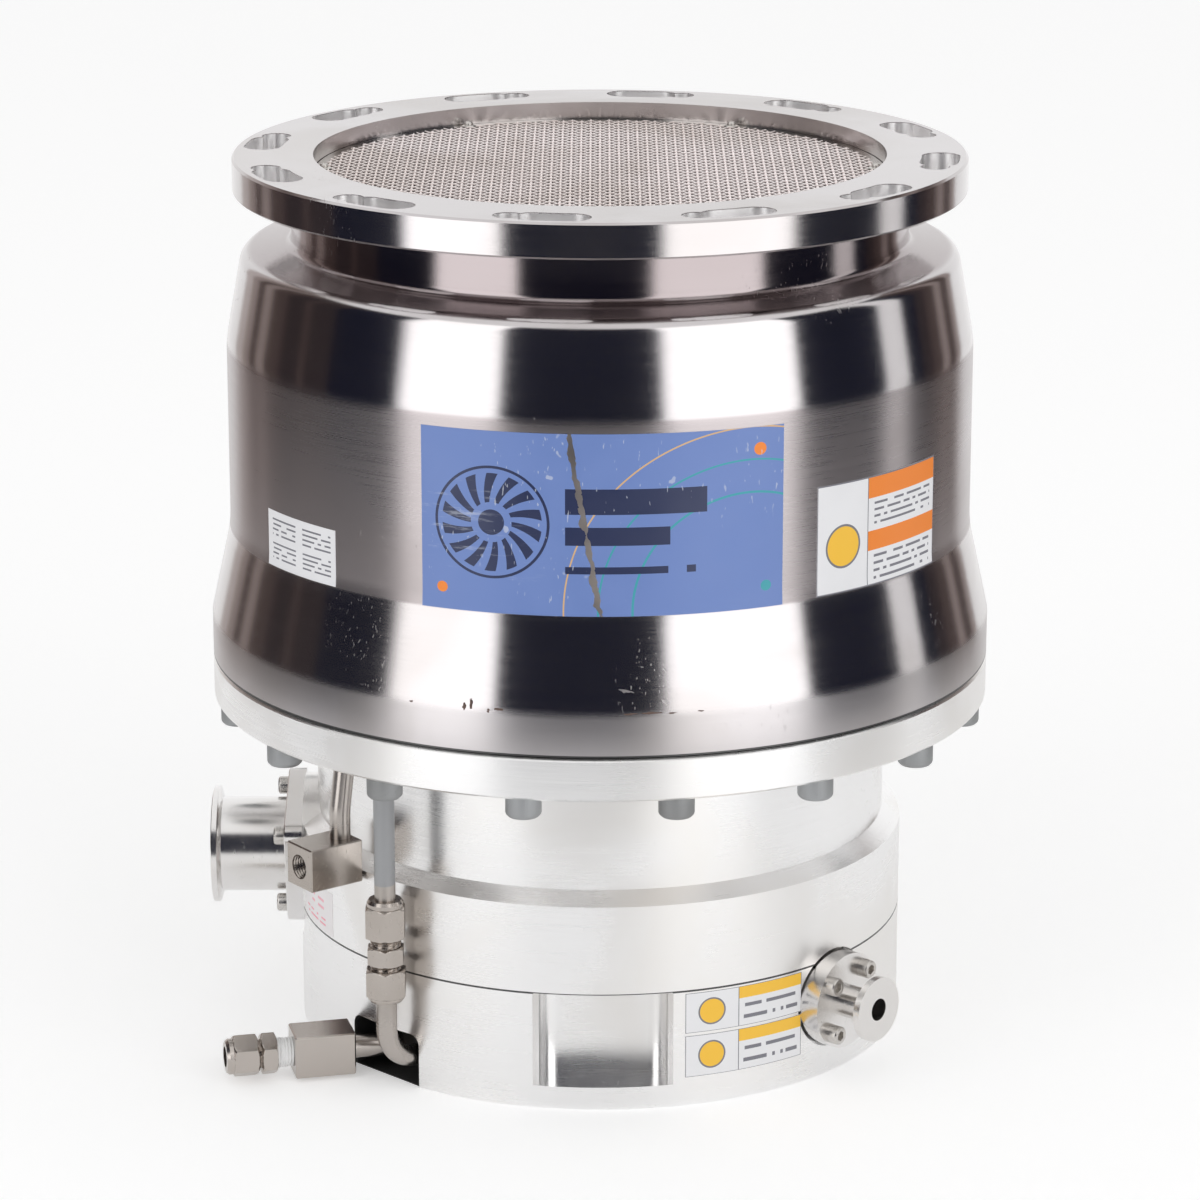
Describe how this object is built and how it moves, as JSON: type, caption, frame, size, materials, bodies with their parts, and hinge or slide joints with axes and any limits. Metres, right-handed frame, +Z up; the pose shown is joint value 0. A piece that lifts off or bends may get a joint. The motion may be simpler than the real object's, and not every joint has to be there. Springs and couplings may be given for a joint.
{
  "type": "turbomolecular pump",
  "caption": "Upright turbomolecular vacuum pump with a flanged top inlet, side outlet, purge port, cooling water line and a levitated bladed rotor on a vertical shaft.",
  "frame": {"origin": "centre of the base's underside, on the rotor axis", "axes": "+Z up the rotor axis and out of the inlet, +X to the right seen from the front, -Y towards the front, so the outlet port points along -X"},
  "size_m": [0.3637, 0.3614, 0.411],
  "materials": {
    "casing_steel": "polished, brushed round the body",
    "base_metal": "polished nickel-plated",
    "screen_wire": "fine woven mesh",
    "bolt_steel": "matt",
    "clip_steel": "satin",
    "port_steel": "machined",
    "pipe_steel": "drawn tube, slightly tarnished",
    "fitting_steel": "machined, slightly tarnished",
    "seal_rubber": "matt",
    "rotor_alloy": "machined",
    "stator_alloy": "machined",
    "ring_alloy": "turned",
    "column_alloy": "cast and machined",
    "core_steel": "laminated",
    "winding_copper": "enamelled wire",
    "magnet_dark": "satin",
    "shaft_steel": "ground",
    "bearing_steel": "polished",
    "socket_metal": "satin",
    "socket_plastic": "matt"
  },
  "bodies": {
    "housing": {"base_housing": "base_metal", "base_pipe": "pipe_steel", "bottom_cover": "base_metal", "casing_seal": "seal_rubber", "column_screws": "bolt_steel", "cover_screws": "bolt_steel", "drag_stator": "column_alloy", "flange_pipe": "pipe_steel", "hose_fitting": "fitting_steel", "hose_nut": "fitting_steel", "inlet_block": "fitting_steel", "inlet_casing": "casing_steel", "inlet_pipe": "pipe_steel", "inlet_screen": "screen_wire", "joint_screws": "bolt_steel", "lower_axial_magnet": "core_steel", "lower_bearing_coils": "winding_copper", "lower_magnetic_bearing": "core_steel", "lower_ring": "base_metal", "lower_ring_screws": "bolt_steel", "lower_touchdown_bearing": "bearing_steel", "motor_coils": "winding_copper", "motor_stator": "core_steel", "outlet_block": "fitting_steel", "outlet_pipe": "pipe_steel", "outlet_port": "port_steel", "outlet_screws": "clip_steel", "outlet_seal": "seal_rubber", "power_socket": "socket_metal", "purge_port": "port_steel", "purge_screws": "clip_steel", "purge_seal": "seal_rubber", "screen_screws": "clip_steel", "socket_insert": "socket_plastic", "socket_screws": "clip_steel", "spacer_ring_1": "ring_alloy", "spacer_ring_2": "ring_alloy", "spacer_ring_3": "ring_alloy", "spacer_ring_4": "ring_alloy", "spacer_ring_5": "ring_alloy", "stator_column": "column_alloy", "stator_stage_1": "stator_alloy", "stator_stage_2": "stator_alloy", "stator_stage_3": "stator_alloy", "stator_stage_4": "stator_alloy", "union_body": "fitting_steel", "union_lower_nut": "fitting_steel", "union_upper_nut": "fitting_steel", "upper_axial_magnet": "core_steel", "upper_bearing_coils": "winding_copper", "upper_magnetic_bearing": "core_steel", "upper_touchdown_bearing": "bearing_steel"},
    "rotor": {"turbine_rotor": "rotor_alloy", "rotor_shaft": "shaft_steel", "thrust_disc": "shaft_steel", "motor_magnet": "magnet_dark", "bearing_targets": "core_steel", "rotor_bolts": "bolt_steel"}
  },
  "joints": [
    {"name": "rotor_spin", "type": "hinge", "parent": "housing", "child": "rotor", "pos_m": [0, 0, 0.2], "axis": [0, 0, 1], "continuous": true}
  ]
}
